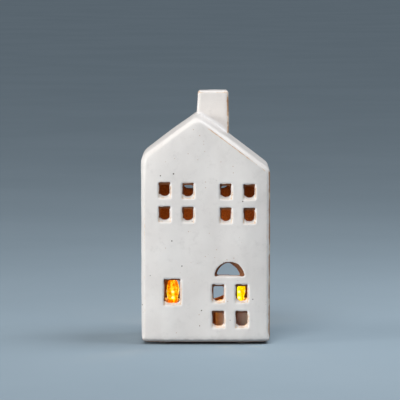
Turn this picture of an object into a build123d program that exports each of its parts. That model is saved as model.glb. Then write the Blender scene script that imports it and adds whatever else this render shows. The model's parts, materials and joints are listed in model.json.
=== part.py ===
"""Stoneware lantern house with two battery tea lights, in millimetres, front facing -Y, +Z up.

The house is one hollow fired piece: a tall house with a lopsided gable, a chimney, cut-out windows
and a door in front, and a round hand hole and a vent at the back. It stands on four felt feet.
Each tea light is a small product of its own that stands loose on the floor of the house.
"""
import math
import os

from build123d import *

os.makedirs("parts", exist_ok=True)

# House outline
house_width = 100.0
house_depth = 75.0
wall = 4.5
floor_thickness = 6.0
left_eave = 144.3
right_eave = 134.2
ridge_height = 176.8
ridge_x = -6.7
left_wall_lean = 1.1
base_round = 3.6
eave_round = 5.5
ridge_round = 4.0
edge_round = 2.9
hollow_round = 2.0

# Chimney
chimney_top = 193.5
chimney_width = 24.6
chimney_depth = 18.0
chimney_back_inset = 4.5
chimney_corner = 2.8
chimney_top_round = 2.2

# Window panes upstairs, two windows of four panes each
pane_width = 7.7
pane_height = 9.2
pane_pitch = 18.1
pane_corner = 1.1
upper_row_height = 118.6
lower_row_height = 100.2
row_slope = -0.02
left_window_x = -22.5
right_window_x = 24.5

# Ground floor: a tall window, a door of four panes and a fanlight over it
tall_window_x = -25.7
tall_window_height = 40.7
tall_window_size = (11.9, 18.3)
door_x = 18.5
door_pane_width = 9.2
door_upper_height = 39.4
door_upper_pane = 12.1
door_lower_height = 19.4
door_lower_pane = 11.0
fanlight_base = 53.6
fanlight_width = 22.0
fanlight_rise = 9.8
fanlight_corner = 0.9
opening_round = 1.5

# Back wall
hand_hole_diameter = 60.0
hand_hole_height = 56.5
vent_width = 38.0
vent_height = 18.0
vent_sill = 115.3
vent_corner = 6.0

# Felt feet
foot_diameter = 10.0
foot_height = 1.5
foot_inset_x = 20.0
foot_inset_y = 13.5

# Tea lights: where they stand and their shells
light_left_gap = 0.55
light_right_gap = 1.15
light_between_gap = 0.5
light_y = 0.0
cup_diameter = 36.5
cup_height = 22.6
cup_wall = 1.2
cup_ledge = 0.6
cup_rim_width = 3.0
dish_depth = 2.4
rim_round = 1.2
flame_neck_radius = 3.4
flame_widest_radius = 5.05
flame_widest_height = 32.0
flame_tip_height = 44.2
lens_wall = 0.8
lens_flange_radius = 6.0
lens_flange_thickness = 1.2

# Base of a tea light, with its battery bay, lamp post and switch
base_recess = 0.6
base_thickness = 2.4
cell_margin = 16.5
cell_height = 3.2
cap_step = 0.4
cap_inset = 1.2
bay_wall = 1.2
bay_roof = 1.2
bay_inset = 1.4
post_radius = 2.35
post_bore_radius = 1.6
led_radius = 1.5
led_flange_radius = 1.9
led_flange_thickness = 1.0
led_length = 5.3
lead_side = 0.45
lead_spacing = 2.0

# Battery cover that locks with a short turn of a coin
cover_margin = 0.9
lug_reach = 1.3
lug_thickness = 0.7
lug_width = 5.0
cover_turn = 30.0
groove_lip = 0.75
coin_slot_length = 12.0
coin_slot_width = 1.6
coin_slot_depth = 0.9

# Contacts and switch
strip_thickness = 0.3
strip_width = 2.4
cap_column_inset = 3.4
switch_travel = 2.5
knob_length = 3.2
knob_width = 2.6
knob_recess = 0.2
slider_length = 6.4
slider_width = 4.6
slider_height = 2.0
guide_length = 7.0
guide_wall = 1.1
guide_inset = 0.4

# Clearances
fit_gap = 0.1
turn_gap = 0.3
slide_gap = 0.15
cell_gap = 0.25
rim_gap = 0.05

floor_top = foot_height + floor_thickness
front_y = -house_depth / 2
back_y = house_depth / 2
front_plane = Plane.XZ.offset(-front_y)
back_plane = Plane.XZ.offset(-back_y)
cut_depth = 2 * wall
house_outline = [
    (-house_width / 2 + left_wall_lean, foot_height),
    (house_width / 2, foot_height),
    (house_width / 2, right_eave),
    (ridge_x, ridge_height),
    (-house_width / 2, left_eave),
]
outline_rounds = [base_round, base_round, eave_round, ridge_round, eave_round]


def save(piece, name):
    """Label a finished piece and write it under its own name."""
    piece.part.label = name
    export_step(piece.part, f"parts/{name}.step")


def pane_places():
    """Centres of the eight upstairs panes, on rows that run slightly downhill to the right."""
    places = []
    for row_height in (upper_row_height, lower_row_height):
        for window_x in (left_window_x, right_window_x):
            for side in (-1, 1):
                x = window_x + side * pane_pitch / 2
                places.append((x, row_height + row_slope * x))
    return places


# House shell: the outer block is rounded, then hollowed and cut open
flue_x = ridge_x + chimney_width / 2
flue_y = back_y - chimney_back_inset - chimney_depth / 2
with BuildPart() as house_shell:
    with BuildSketch(Plane.XZ):
        with BuildLine():
            FilletPolyline(*house_outline, radius=outline_rounds, close=True)
        make_face()
    extrude(amount=house_depth / 2, both=True)
    front_rim = house_shell.faces().sort_by(Axis.Y)[0].edges()
    back_rim = house_shell.faces().sort_by(Axis.Y)[-1].edges()
    fillet(front_rim + back_rim, radius=edge_round)

    with BuildSketch(Plane.XY.offset(chimney_top)):
        with Locations((flue_x, flue_y)):
            RectangleRounded(chimney_width, chimney_depth, chimney_corner)
    extrude(amount=right_eave - chimney_top)
    fillet(house_shell.faces().sort_by(Axis.Z)[-1].edges(), radius=chimney_top_round)

    with BuildSketch(Plane.XZ) as hollow:
        with BuildLine():
            Polyline(*house_outline, close=True)
        make_face()
        offset(amount=-wall, kind=Kind.INTERSECTION, mode=Mode.REPLACE)
        Rectangle(house_width, 2 * floor_top, mode=Mode.SUBTRACT)
        fillet(hollow.vertices().sort_by(Axis.Y)[2:], radius=hollow_round)
    extrude(amount=house_depth / 2 - wall, both=True, mode=Mode.SUBTRACT)

    with BuildSketch(Plane.XY.offset(chimney_top - wall)):
        with Locations((flue_x, flue_y)):
            Rectangle(chimney_width - 2 * wall, chimney_depth - 2 * wall)
    extrude(amount=right_eave - chimney_top, mode=Mode.SUBTRACT)

    with BuildSketch(front_plane):
        with Locations(*pane_places()):
            RectangleRounded(pane_width, pane_height, pane_corner)
        with Locations((tall_window_x, tall_window_height)):
            RectangleRounded(*tall_window_size, pane_corner)
        for side in (-1, 1):
            with Locations((door_x + side * pane_pitch / 2, door_upper_height)):
                RectangleRounded(door_pane_width, door_upper_pane, pane_corner)
            with Locations((door_x + side * pane_pitch / 2, door_lower_height)):
                RectangleRounded(door_pane_width, door_lower_pane, pane_corner)
        with BuildSketch(mode=Mode.PRIVATE) as fanlight:
            with BuildLine():
                left_foot = (door_x - fanlight_width / 2, fanlight_base)
                right_foot = (door_x + fanlight_width / 2, fanlight_base)
                crown = (door_x, fanlight_base + fanlight_rise)
                Line(left_foot, right_foot)
                ThreePointArc(right_foot, crown, left_foot)
            make_face()
            fillet(fanlight.vertices(), radius=fanlight_corner)
        add(fanlight.sketch)
    extrude(amount=-cut_depth, mode=Mode.SUBTRACT)
    front_face = house_shell.faces().sort_by(Axis.Y)[0]
    fillet(front_face.inner_wires().edges(), radius=opening_round)

    with BuildSketch(back_plane):
        with Locations((0, hand_hole_height)):
            Circle(hand_hole_diameter / 2)
        with Locations((0, vent_sill + vent_height / 2)):
            RectangleRounded(vent_width, vent_height, vent_corner)
    extrude(amount=cut_depth, mode=Mode.SUBTRACT)
    back_face = house_shell.faces().sort_by(Axis.Y)[-1]
    fillet(back_face.inner_wires().edges(), radius=opening_round)
save(house_shell, "house_shell")

# Four felt feet, stuck to the underside
with BuildPart() as felt_feet:
    with BuildSketch(Plane.XY):
        with GridLocations(house_width - 2 * foot_inset_x, house_depth - 2 * foot_inset_y, 2, 2):
            Circle(foot_diameter / 2)
    extrude(amount=foot_height)
save(felt_feet, "felt_feet")

# Heights inside a tea light, measured from the surface that it stands on
cup_radius = cup_diameter / 2
light_left_x = -house_width / 2 + left_wall_lean + wall + light_left_gap + cup_radius
light_right_x = house_width / 2 - wall - light_right_gap - cup_radius
light_spacing = light_right_x - light_left_x
light_reach = cup_diameter + light_between_gap
# Where the room is too narrow for the lights to stand side by side, the right one stands further back
light_stagger = math.sqrt(max(0.0, light_reach**2 - light_spacing**2)) / 2
ledge_radius = cup_radius - cup_wall - cup_ledge
base_radius = cup_radius - cup_wall - fit_gap
base_top = base_recess + base_thickness
dish_top = cup_height - dish_depth
dish_underside = dish_top - cup_wall
cell_bottom = base_top + cell_gap
cell_top = cell_bottom + cell_height
roof_bottom = cell_top + 2 * strip_thickness
roof_top = roof_bottom + bay_roof
cell_radius = (cup_diameter - cell_margin) / 2
bay_radius = cell_radius + cell_gap
bay_y = bay_radius + bay_wall + bay_inset - ledge_radius
guide_width = slider_width + 2 * slide_gap + 2 * guide_wall
switch_y = bay_y + bay_radius + bay_wall + guide_inset + guide_width / 2
cover_radius = cell_radius + cover_margin
cover_hole_radius = cover_radius + turn_gap
lug_radius = cover_radius + lug_reach
groove_radius = lug_radius + turn_gap
groove_bottom = base_recess + groove_lip
lug_bottom = groove_bottom + slide_gap
groove_top = lug_bottom + lug_thickness + slide_gap
lens_flange_bottom = dish_underside - lens_flange_thickness
post_top = dish_top - fit_gap
neck_bore_radius = flame_neck_radius - lens_wall
lead_foot = roof_top + strip_thickness
rim_chord = abs(bay_y) - strip_width / 2
rim_column = math.sqrt(cell_radius**2 - rim_chord**2) + strip_thickness / 2 + rim_gap
cap_column = rim_column - cap_column_inset


def candle_cup(name, upright, axis):
    """The wax-coloured cup: a thin shell with a dished top, open underneath."""
    dish_radius = cup_radius - cup_rim_width
    neck_hole = flame_neck_radius + fit_gap
    with BuildPart() as cup:
        with BuildSketch(upright):
            with BuildLine():
                Polyline(
                    (neck_hole, dish_underside),
                    (ledge_radius, dish_underside),
                    (ledge_radius, base_top),
                    (cup_radius - cup_wall, base_top),
                    (cup_radius - cup_wall, 0),
                    (cup_radius, 0),
                    (cup_radius, cup_height - rim_round),
                )
                RadiusArc(
                    (cup_radius, cup_height - rim_round),
                    (cup_radius - rim_round, cup_height),
                    -rim_round,
                )
                Spline(
                    (cup_radius - rim_round, cup_height),
                    (dish_radius, cup_height - dish_depth / 2),
                    (dish_radius - cup_rim_width, dish_top),
                    tangents=[(-1, 0), (-1, 0)],
                )
                Polyline(
                    (dish_radius - cup_rim_width, dish_top),
                    (neck_hole, dish_top),
                    (neck_hole, dish_underside),
                )
            make_face()
        revolve(axis=axis)
    save(cup, name)


def flame_lens(name, upright, axis):
    """The hollow flame: a clear amber moulding with a flange under the cup's top."""
    inner_tip = flame_tip_height - 3 * lens_wall
    with BuildPart() as lens:
        with BuildSketch(upright):
            with BuildLine():
                Polyline(
                    (neck_bore_radius, lens_flange_bottom),
                    (lens_flange_radius, lens_flange_bottom),
                    (lens_flange_radius, dish_underside),
                    (flame_neck_radius, dish_underside),
                    (flame_neck_radius, dish_top),
                )
                Spline(
                    (flame_neck_radius, dish_top),
                    (flame_widest_radius, flame_widest_height),
                    (0, flame_tip_height),
                    tangents=[(0, 1), (-1, 1)],
                )
                Line((0, flame_tip_height), (0, inner_tip))
                Spline(
                    (0, inner_tip),
                    (flame_widest_radius - lens_wall, flame_widest_height),
                    (neck_bore_radius, dish_top),
                    tangents=[(1, -1), (0, -1)],
                )
                Line((neck_bore_radius, dish_top), (neck_bore_radius, lens_flange_bottom))
            make_face()
        revolve(axis=axis)
    save(lens, name)


def led(name, seat, upright, axis):
    """The lamp: a small round diode with two leads that reach the contacts."""
    with BuildPart() as lamp:
        with BuildSketch(upright):
            with BuildLine():
                Polyline(
                    (0, post_top),
                    (led_flange_radius, post_top),
                    (led_flange_radius, post_top + led_flange_thickness),
                    (led_radius, post_top + led_flange_thickness),
                    (led_radius, post_top + led_length - led_radius),
                )
                shoulder = (led_radius, post_top + led_length - led_radius)
                CenterArc((0, shoulder[1]), led_radius, 0, 90)
                Line((0, post_top + led_length), (0, post_top))
            make_face()
        revolve(axis=axis)
        with BuildSketch(seat.offset(lead_foot)):
            with GridLocations(lead_spacing, 0, 2, 1):
                Rectangle(lead_side, lead_side)
        extrude(amount=post_top - lead_foot)
    save(lamp, name)


def light_base(name, seat):
    """The base plate with the battery bay, the lamp post, the cover's groove and the switch guide."""
    bay = Plane(seat.origin + Vector(0, bay_y, 0))
    knob_slot = knob_length + switch_travel + 2 * slide_gap
    guide_height = slider_height + 2 * slide_gap + guide_wall
    with BuildPart() as base:
        with BuildSketch(seat.offset(base_recess)):
            Circle(base_radius)
        extrude(amount=base_thickness)
        with BuildSketch(bay.offset(base_top)):
            Circle(bay_radius + bay_wall)
        extrude(amount=roof_top - base_top)
        with BuildSketch(seat.offset(roof_top)):
            Circle(post_radius)
        extrude(amount=post_top - roof_top)
        with BuildSketch(seat.offset(base_top)):
            with Locations((0, switch_y)):
                Rectangle(guide_length, guide_width)
        extrude(amount=guide_height)
        with BuildSketch(bay.offset(base_recess)):
            Circle(cover_hole_radius)
        extrude(amount=base_thickness, mode=Mode.SUBTRACT)
        with BuildSketch(bay.offset(groove_bottom)):
            Circle(groove_radius)
        extrude(amount=groove_top - groove_bottom, mode=Mode.SUBTRACT)
        with BuildSketch(bay.offset(base_recess)):
            Circle(groove_radius)
            Rectangle(2 * groove_radius, lug_width + 2 * turn_gap, rotation=cover_turn, mode=Mode.INTERSECT)
        extrude(amount=groove_lip, mode=Mode.SUBTRACT)
        with BuildSketch(bay.offset(base_top)):
            Circle(bay_radius)
        extrude(amount=roof_bottom - base_top, mode=Mode.SUBTRACT)
        with BuildSketch(seat.offset(roof_top)):
            Circle(post_bore_radius)
        extrude(amount=post_top - roof_top, mode=Mode.SUBTRACT)
        with BuildSketch(seat.offset(roof_top)):
            Rectangle(2 * (post_radius + fit_gap), strip_width + 2 * fit_gap)
        extrude(amount=strip_thickness + fit_gap, mode=Mode.SUBTRACT)
        with BuildSketch(seat.offset(cell_bottom)):
            with Locations((-rim_column, 0), (cap_column, 0)):
                Rectangle(strip_thickness + 2 * fit_gap, strip_width + 2 * fit_gap)
        extrude(amount=roof_top - cell_bottom, mode=Mode.SUBTRACT)
        with BuildSketch(seat.offset(base_top)):
            with Locations((0, switch_y)):
                Rectangle(guide_length, slider_width + 2 * slide_gap)
        extrude(amount=slider_height + 2 * slide_gap, mode=Mode.SUBTRACT)
        with BuildSketch(seat.offset(base_recess)):
            with Locations((0, switch_y)):
                Rectangle(knob_slot, knob_width + 2 * slide_gap)
        extrude(amount=base_thickness, mode=Mode.SUBTRACT)
    save(base, name)


def coin_cell(name, seat):
    """A flat round lithium cell with the small step of its lower cap."""
    with BuildPart() as cell:
        with BuildSketch(Plane(seat.origin + Vector(0, bay_y, cell_bottom))):
            Circle(cell_radius)
        extrude(amount=cell_height - cap_step)
        with BuildSketch(Plane(seat.origin + Vector(0, bay_y, cell_top - cap_step))):
            Circle(cell_radius - cap_inset)
        extrude(amount=cap_step)
        fillet(cell.edges().group_by(Axis.Z)[0], radius=cap_step)
    save(cell, name)


def battery_cover(name, seat):
    """The round cover: a disc with two lugs and a slot for a coin."""
    bay = Plane(seat.origin + Vector(0, bay_y, 0))
    with BuildPart() as cover:
        with BuildSketch(bay.offset(base_recess)):
            Circle(cover_radius)
        extrude(amount=base_thickness)
        with BuildSketch(bay.offset(lug_bottom)):
            Circle(lug_radius)
            Rectangle(2 * lug_radius, lug_width, mode=Mode.INTERSECT)
        extrude(amount=lug_thickness)
        with BuildSketch(bay.offset(base_recess)):
            SlotOverall(coin_slot_length, coin_slot_width)
        extrude(amount=coin_slot_depth, mode=Mode.SUBTRACT)
    save(cover, name)


def positive_contact(name, seat):
    """A bent strip from a lead, over the bay's roof and down to the cell's rim."""
    inner_end = lead_spacing / 2 - lead_side
    outer_end = rim_column + strip_thickness / 2
    with BuildPart() as strip:
        with BuildSketch(seat.offset(roof_top)):
            with Locations((-(inner_end + outer_end) / 2, 0)):
                Rectangle(outer_end - inner_end, strip_width)
        extrude(amount=strip_thickness)
        with BuildSketch(seat.offset(cell_bottom)):
            with Locations((-rim_column, 0)):
                Rectangle(strip_thickness, strip_width)
        extrude(amount=roof_top - cell_bottom)
    save(strip, name)


def negative_contact(name, seat):
    """A bent strip from the other lead, through the bay's roof and back along the cell's cap."""
    inner_end = lead_spacing / 2 - lead_side
    outer_end = cap_column + strip_thickness / 2
    with BuildPart() as strip:
        for height in (roof_top, cell_top):
            with BuildSketch(seat.offset(height)):
                with Locations(((inner_end + outer_end) / 2, 0)):
                    Rectangle(outer_end - inner_end, strip_width)
            extrude(amount=strip_thickness)
        with BuildSketch(seat.offset(cell_top)):
            with Locations((cap_column, 0)):
                Rectangle(strip_thickness, strip_width)
        extrude(amount=roof_top - cell_top)
    save(strip, name)


def switch_slider(name, seat):
    """The on and off slider: a block in the guide with a knob that shows underneath."""
    on_side = -switch_travel / 2
    with BuildPart() as slider:
        with BuildSketch(seat.offset(base_top + slide_gap)):
            with Locations((on_side, switch_y)):
                Rectangle(slider_length, slider_width)
        extrude(amount=slider_height)
        with BuildSketch(seat.offset(base_recess + knob_recess)):
            with Locations((on_side, switch_y)):
                Rectangle(knob_length, knob_width)
        extrude(amount=base_top + slide_gap - base_recess - knob_recess)
    save(slider, name)


light_places = {
    "left": (light_left_x, light_y - light_stagger, floor_top),
    "right": (light_right_x, light_y + light_stagger, floor_top),
}
for side_name, place in light_places.items():
    seat = Plane(place)
    upright = Plane(place, x_dir=(1, 0, 0), z_dir=(0, -1, 0))
    axis = Axis(place, (0, 0, 1))
    candle_cup(f"{side_name}_candle_cup", upright, axis)
    flame_lens(f"{side_name}_flame_lens", upright, axis)
    led(f"{side_name}_led", seat, upright, axis)
    light_base(f"{side_name}_light_base", seat)
    coin_cell(f"{side_name}_coin_cell", seat)
    battery_cover(f"{side_name}_battery_cover", seat)
    positive_contact(f"{side_name}_positive_contact", seat)
    negative_contact(f"{side_name}_negative_contact", seat)
    switch_slider(f"{side_name}_switch_slider", seat)
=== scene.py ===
# %% [markdown]
# A stoneware lantern house
#
# The real thing is a hollow house of brown stoneware, dipped in a white satin glaze and lit by two battery
# tea lights. Everything hard was made in CAD and arrives here as a fixed frame. This script dresses it: the
# pottery gets its soft edges and its glaze, the tea lights their moulded cups and glowing flames.

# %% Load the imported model
import json
import math

import bmesh
import bpy
import numpy as np
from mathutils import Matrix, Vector


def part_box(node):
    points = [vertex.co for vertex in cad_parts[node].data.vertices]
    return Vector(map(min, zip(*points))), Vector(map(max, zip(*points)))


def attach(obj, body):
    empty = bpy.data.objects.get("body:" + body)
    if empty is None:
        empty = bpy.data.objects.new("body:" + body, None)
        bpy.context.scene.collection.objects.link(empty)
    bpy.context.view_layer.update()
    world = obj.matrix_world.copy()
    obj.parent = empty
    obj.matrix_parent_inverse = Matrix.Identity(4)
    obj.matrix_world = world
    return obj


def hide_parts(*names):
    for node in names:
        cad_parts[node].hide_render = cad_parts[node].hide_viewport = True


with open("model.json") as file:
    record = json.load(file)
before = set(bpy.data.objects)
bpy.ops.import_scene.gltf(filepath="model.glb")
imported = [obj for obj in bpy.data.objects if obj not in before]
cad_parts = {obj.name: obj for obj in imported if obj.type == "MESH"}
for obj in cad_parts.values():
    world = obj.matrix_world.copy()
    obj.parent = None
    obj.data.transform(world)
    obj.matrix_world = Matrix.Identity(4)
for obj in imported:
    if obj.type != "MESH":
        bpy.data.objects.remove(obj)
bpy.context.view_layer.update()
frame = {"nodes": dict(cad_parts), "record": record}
nodes = frame["nodes"]
mm = 0.001

# %% [markdown]
# Node trees from short lines
#
# Materials and Geometry Nodes are both node trees. A few helpers keep their code readable: one adds a node
# and sets or links its inputs, the others do sums, blends and ranges and return the socket to use next. A
# socket knows its tree, so only a node that no other one feeds has to be told where it goes.

# %% Helpers for node trees
def give(socket, value):
    """Link a socket to another one, or set it to a plain value."""
    if isinstance(value, bpy.types.NodeSocket):
        socket.id_data.links.new(value, socket)
    else:
        socket.default_value = value


def put_in(tree, kind, inputs=None, **settings):
    """Add a node to a tree, apply its settings, then set or link its inputs by name or number."""
    made = tree.nodes.new(kind)
    for name, value in settings.items():
        setattr(made, name, value)
    for key, value in (inputs or {}).items():
        give(made.inputs[key], value)
    return made


def put(kind, inputs, **settings):
    """Add a node to the tree that its inputs come from, and return its outputs."""
    tree = next(value.id_data for value in inputs.values() if isinstance(value, bpy.types.NodeSocket))
    return put_in(tree, kind, inputs, **settings).outputs


def sum_of(operation, first, second=0.0, clamp=False):
    return put("ShaderNodeMath", {0: first, 1: second}, operation=operation, use_clamp=clamp)[0]


def plus(first, *others):
    for other in others:
        first = sum_of("ADD", first, other)
    return first


def minus(first, second):
    return sum_of("SUBTRACT", first, second)


def times(first, *others):
    for other in others:
        first = sum_of("MULTIPLY", first, other)
    return first


def ranged(value, low, high, to_low=0.0, to_high=1.0):
    inputs = {"Value": value, "From Min": low, "From Max": high, "To Min": to_low, "To Max": to_high}
    return put("ShaderNodeMapRange", inputs, interpolation_type="SMOOTHSTEP")["Result"]


def noise(place, scale, detail, roughness=0.5):
    inputs = {"Vector": place, "Scale": scale, "Detail": detail, "Roughness": roughness}
    return put("ShaderNodeTexNoise", inputs)[0]


def split(vector):
    """The three parts of a vector."""
    return put("ShaderNodeSeparateXYZ", {0: vector})


# %% Helpers for materials
def colour(red, green, blue):
    """A screen colour, 0 to 255, as the linear value that shaders use."""
    shares = (red / 255, green / 255, blue / 255)
    return (*(s / 12.92 if s <= 0.04045 else ((s + 0.055) / 1.055) ** 2.4 for s in shares), 1.0)


def blended(share, first, second):
    return put("ShaderNodeMix", {0: share, 6: first, 7: second}, data_type="RGBA")[2]


def layered(base, *layers):
    """Lay screen colours over a base colour, one after the other, each by its own mask."""
    made = colour(*base)
    for mask, tint in layers:
        made = blended(mask, made, colour(*tint))
    return made


def between(share, first, second):
    return put("ShaderNodeMix", {0: share, 2: first, 3: second}, data_type="FLOAT")[0]


def kept(shader, name):
    """A value that the mesh keeps for each point."""
    return put_in(shader.id_data, "ShaderNodeAttribute", attribute_name=name).outputs["Fac"]


def feed(shader, **sockets):
    """Set or link the Principled shader's inputs, named with _ for each space."""
    for name, value in sockets.items():
        give(shader.inputs[name.replace("_", " ")], value)


def bumped(height, depth):
    """A normal from a height of 0 to 1, for relief of that depth in metres."""
    return put("ShaderNodeBump", {"Height": height, "Distance": depth, "Strength": 1.0})["Normal"]


# %% [markdown]
# Effects that several finishes share
#
# Fired clay, moulded plastic and felt all vary a little from place to place, and most carry small specks.
# Both effects are shader node groups, built once. Each material places them with its own scales.

# %% Shared groups, and a material that starts from one
NUMBER = "NodeSocketFloat"
PLACE = "NodeSocketVector"


def new_tree(kind, name, inputs, outputs):
    """A node tree with its named sockets: the tree, what it is given and what it gives back."""
    tree = bpy.data.node_groups.new(name, kind)
    for in_out, sockets in (("INPUT", inputs), ("OUTPUT", outputs)):
        for label, socket_kind in sockets.items():
            tree.interface.new_socket(label, in_out=in_out, socket_type=socket_kind)
    return tree, tree.nodes.new("NodeGroupInput").outputs, tree.nodes.new("NodeGroupOutput").inputs


uneven_group, given, result = new_tree(
    "ShaderNodeTree", "uneven_surface", {"Place": PLACE, "Cloud Scale": NUMBER, "Grain Scale": NUMBER},
    {"Clouds": NUMBER, "Grain": NUMBER})
give(result["Clouds"], ranged(noise(given["Place"], given["Cloud Scale"], 5, 0.55), 0.3, 0.7))
give(result["Grain"], ranged(noise(given["Place"], given["Grain Scale"], 3, 0.6), 0.25, 0.75))

speck_group, given, result = new_tree(
    "ShaderNodeTree", "specks", {"Place": PLACE, "Scale": NUMBER, "Size": NUMBER, "Share": NUMBER},
    {"Mask": NUMBER})
cells = put("ShaderNodeTexVoronoi", {"Vector": given["Place"], "Scale": given["Scale"]})
chance = put("ShaderNodeSeparateColor", {0: cells["Color"]})
speck_size = times(given["Size"], ranged(chance[0], 0, 1, 0.35, 1))
speck = ranged(cells["Distance"], speck_size, times(speck_size, 0.5))
give(result["Mask"], times(speck, sum_of("LESS_THAN", chance[1], given["Share"])))


def new_material(name, cloud_scale, grain_scale):
    """A material with its Principled shader, its Object coordinates, and its clouds and grain."""
    material = bpy.data.materials.new(name)
    material.use_nodes = True
    place = put_in(material.node_tree, "ShaderNodeTexCoord").outputs["Object"]
    inputs = {"Place": place, "Cloud Scale": cloud_scale, "Grain Scale": grain_scale}
    clouds, grain = put("ShaderNodeGroup", inputs, node_tree=uneven_group)
    return material, material.node_tree.nodes["Principled BSDF"], place, clouds, grain


def specks(place, scale, size, share):
    inputs = {"Place": place, "Scale": scale, "Size": size, "Share": share}
    return put("ShaderNodeGroup", inputs, node_tree=speck_group)[0]


print("shared groups:", uneven_group.name, speck_group.name)

# %% [markdown]
# The pottery: from crisp CAD to soft clay
#
# The house is built from clay slabs, its windows are cut by hand, and a damp sponge and a coat of glaze then
# soften every edge. Sculpting would do it, but a rule is repeatable: a copy of the CAD solid is remeshed in
# small even faces and smoothed, and the next steps move its points about, as hand-built walls are never flat.
# In the end every point is held inside the CAD box, so the house keeps its real size.

# %% Remesh a copy of the house
voxel = 0.62 * mm
soft_rounds = 6


def plain_mesh(thing):
    """The evaluated mesh of an object, as a mesh of its own; the object is then removed."""
    graph = bpy.context.evaluated_depsgraph_get()
    made = bpy.data.meshes.new_from_object(thing.evaluated_get(graph))
    bpy.data.objects.remove(thing)
    return made


def show(name, content):
    """Put a mesh, a lamp or a camera in the scene as an object at the origin."""
    thing = bpy.data.objects.new(name, content)
    bpy.context.scene.collection.objects.link(thing)
    return thing


def merged_copy(node):
    """A copy of a CAD node's mesh with its loose triangles joined."""
    mesh = nodes[node].data.copy()
    joined = bmesh.new()
    joined.from_mesh(mesh)
    bmesh.ops.remove_doubles(joined, verts=joined.verts, dist=0.001 * mm)
    joined.to_mesh(mesh)
    joined.free()
    mesh.materials.clear()
    return mesh


block = show("house_block", merged_copy("house_shell"))
even_faces = block.modifiers.new("even faces", "REMESH")
even_faces.mode = "VOXEL"
even_faces.voxel_size = voxel
soften = block.modifiers.new("soften", "SMOOTH")
soften.factor = 0.5
soften.iterations = soft_rounds
clay = plain_mesh(block)
print("house remeshed:", len(clay.vertices), "points,", len(clay.polygons), "faces")

# %% [markdown]
# Where each point lies
#
# Soft edges and glaze both follow the form, so each point needs to know how far it lies behind the outside of
# the house and how sharply the surface turns there. Arrays hold such values for all points at once, in
# millimetres, which is far quicker than a loop.

# %% Read the points, and tools for values on them
def read_vectors(mesh, name):
    """One vector for each point of a mesh."""
    values = np.empty(len(mesh.vertices) * 3, np.float32)
    mesh.vertices.foreach_get(name, values)
    return values.reshape(-1, 3).astype(float)


point_count = len(clay.vertices)
points = read_vectors(clay, "co") / mm
normals = read_vectors(clay, "normal")
across, _, up = points.T
edges = np.empty(len(clay.edges) * 2, np.int32)
clay.edges.foreach_get("vertices", edges)
edges = edges.reshape(-1, 2)
degree = np.bincount(edges.ravel(), minlength=point_count).clip(1)


def neighbour_mean(values):
    """The mean of each point's neighbours, for one value or several per point."""
    table = values.reshape(point_count, -1)
    total = np.empty_like(table)
    for column in range(table.shape[1]):
        to_first = np.bincount(edges[:, 0], table[edges[:, 1], column], point_count)
        to_second = np.bincount(edges[:, 1], table[edges[:, 0], column], point_count)
        total[:, column] = (to_first + to_second) / degree
    return total.reshape(values.shape)


def spread(values, rounds):
    for _ in range(rounds):
        values = 0.5 * values + 0.5 * neighbour_mean(values)
    return values


def settle(places, share, rounds):
    """Draw points towards their neighbours, each by its own share."""
    for _ in range(rounds):
        places = places + 0.5 * share[:, None] * (neighbour_mean(places) - places)
    return places


def step(values, low, high):
    """A smooth step from 0 at low to 1 at high; with high below low it falls instead."""
    share = np.clip((values - low) / (high - low), 0, 1)
    return share * share * (3 - 2 * share)


def bell(values, reach):
    """1 where values are 0, falling off smoothly to either side."""
    return np.exp(-((values / reach) ** 2))


def waves(wavelength, seed, count=8):
    """A slow random swell through space, between 0 and 1, made of a few crossing waves."""
    draw = np.random.default_rng(seed)
    ways = draw.normal(size=(count, 3))
    ways /= np.linalg.norm(ways, axis=1)[:, None]
    lengths = wavelength * draw.uniform(0.7, 1.5, count)
    starts = draw.uniform(0, 2 * math.pi, count)
    total = np.sin(points @ (ways / lengths[:, None]).T * 2 * math.pi + starts).sum(1)
    return 0.5 + 0.5 * np.tanh(total / math.sqrt(count))


print("points:", point_count, " edges:", len(edges))

# %% Measure depth and curvature
house_low, house_high = [np.array(corner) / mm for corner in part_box("house_shell")]
half_width = 50.0
left_foot = -48.9
left_eave = 144.3
right_eave = 134.2
ridge = (-6.7, 176.8)
wall = 4.5
chimney_low = np.array([-6.7, 15.0, 0.0])
chimney_high = np.array([17.9, 33.0, house_high[2]])
outline = np.array([(left_foot, house_low[2]), (-half_width, left_eave), ridge,
                    (half_width, right_eave), (half_width, house_low[2])])
flat = points[:, [0, 2]]
along_line = np.diff(outline, axis=0)
along_line /= np.linalg.norm(along_line, axis=1)[:, None]
inward = np.stack([along_line[:, 1], -along_line[:, 0]], axis=1)
side_depths = np.stack([(flat - outline[side]) @ inward[side] for side in range(4)], axis=1)


def turning(places, ways):
    """How sharply the surface turns at each point, per mm: above 0 on edges, below 0 in hollows."""
    bend = neighbour_mean(places) - places
    return -4 * (bend * ways).sum(1) / (voxel / mm) ** 2


height = up - house_low[2]
front_depth = points[:, 1] - house_low[1]
back_depth = house_high[1] - points[:, 1]
from_left, under_left_roof, under_right_roof, from_right = side_depths.T
roof_depth = np.minimum(under_left_roof, under_right_roof)
depth = np.min([front_depth, back_depth, from_left, from_right, roof_depth], axis=0)
chimney_depth = np.minimum(points - chimney_low, chimney_high - points).min(1)
on_chimney = roof_depth < -0.3
in_flue = chimney_depth > wall - 1
depth = np.where(on_chimney | in_flue, np.maximum(chimney_depth, 0), depth)
first_turn = spread(turning(points, normals), 3)
print("points within 2.5 mm of the outside:", int((depth < 2.5).sum()))

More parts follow.
